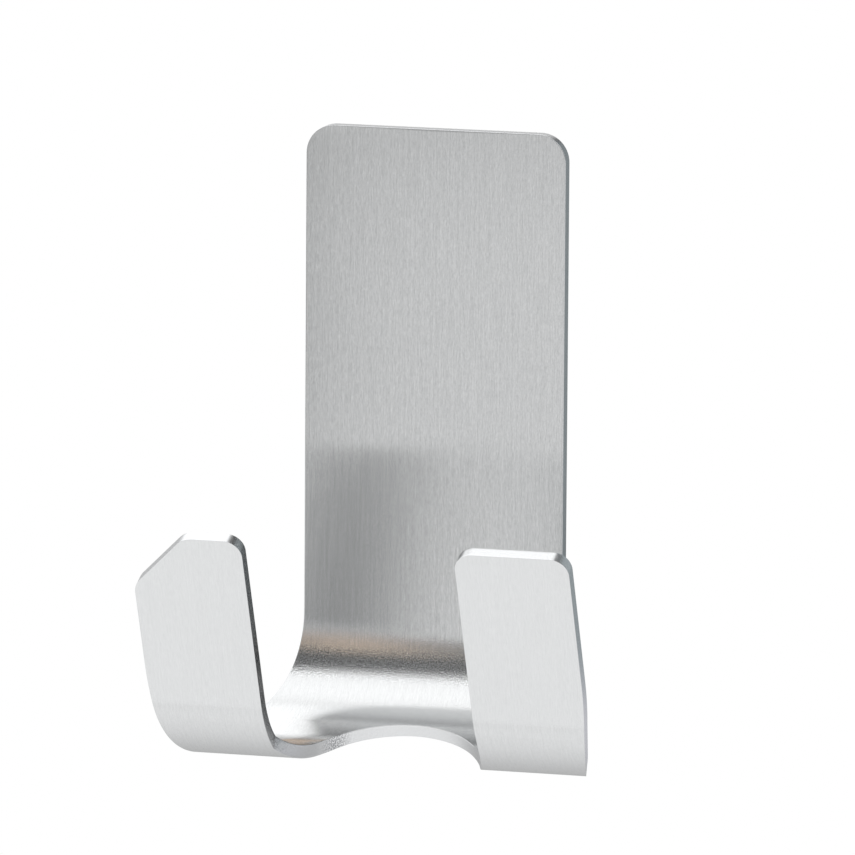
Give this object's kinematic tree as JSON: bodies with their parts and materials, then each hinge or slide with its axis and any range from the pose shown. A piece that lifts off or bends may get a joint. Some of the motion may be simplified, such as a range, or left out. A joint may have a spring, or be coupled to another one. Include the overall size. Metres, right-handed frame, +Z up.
{
  "type": "adhesive double hook",
  "caption": "Wall hook bent from brushed stainless sheet: a tall plate with an adhesive pad behind it curves forward and splits into upturned prongs for hanging towels, bags or clothes.",
  "frame": {"origin": "middle of the adhesive pad's wall side, on the wall plane y = 0", "axes": "+Y into the wall, so the hook reaches out towards -Y; +Z up the plate; +X to the right of someone facing the hook"},
  "size_m": [0.05, 0.0352, 0.0689],
  "materials": {
    "brushed_stainless": "satin, brushed lengthwise along the sheet, with bare sheared edges",
    "adhesive": "clear tacky acrylic coat, a soft gloss over the foam",
    "foam": "matt closed-cell foam, die-cut edge"
  },
  "bodies": {
    "root": {"steel_hook": "brushed_stainless", "plate_adhesive_film": "adhesive", "foam_carrier": "foam", "wall_adhesive_film": "adhesive"}
  },
  "joints": []
}
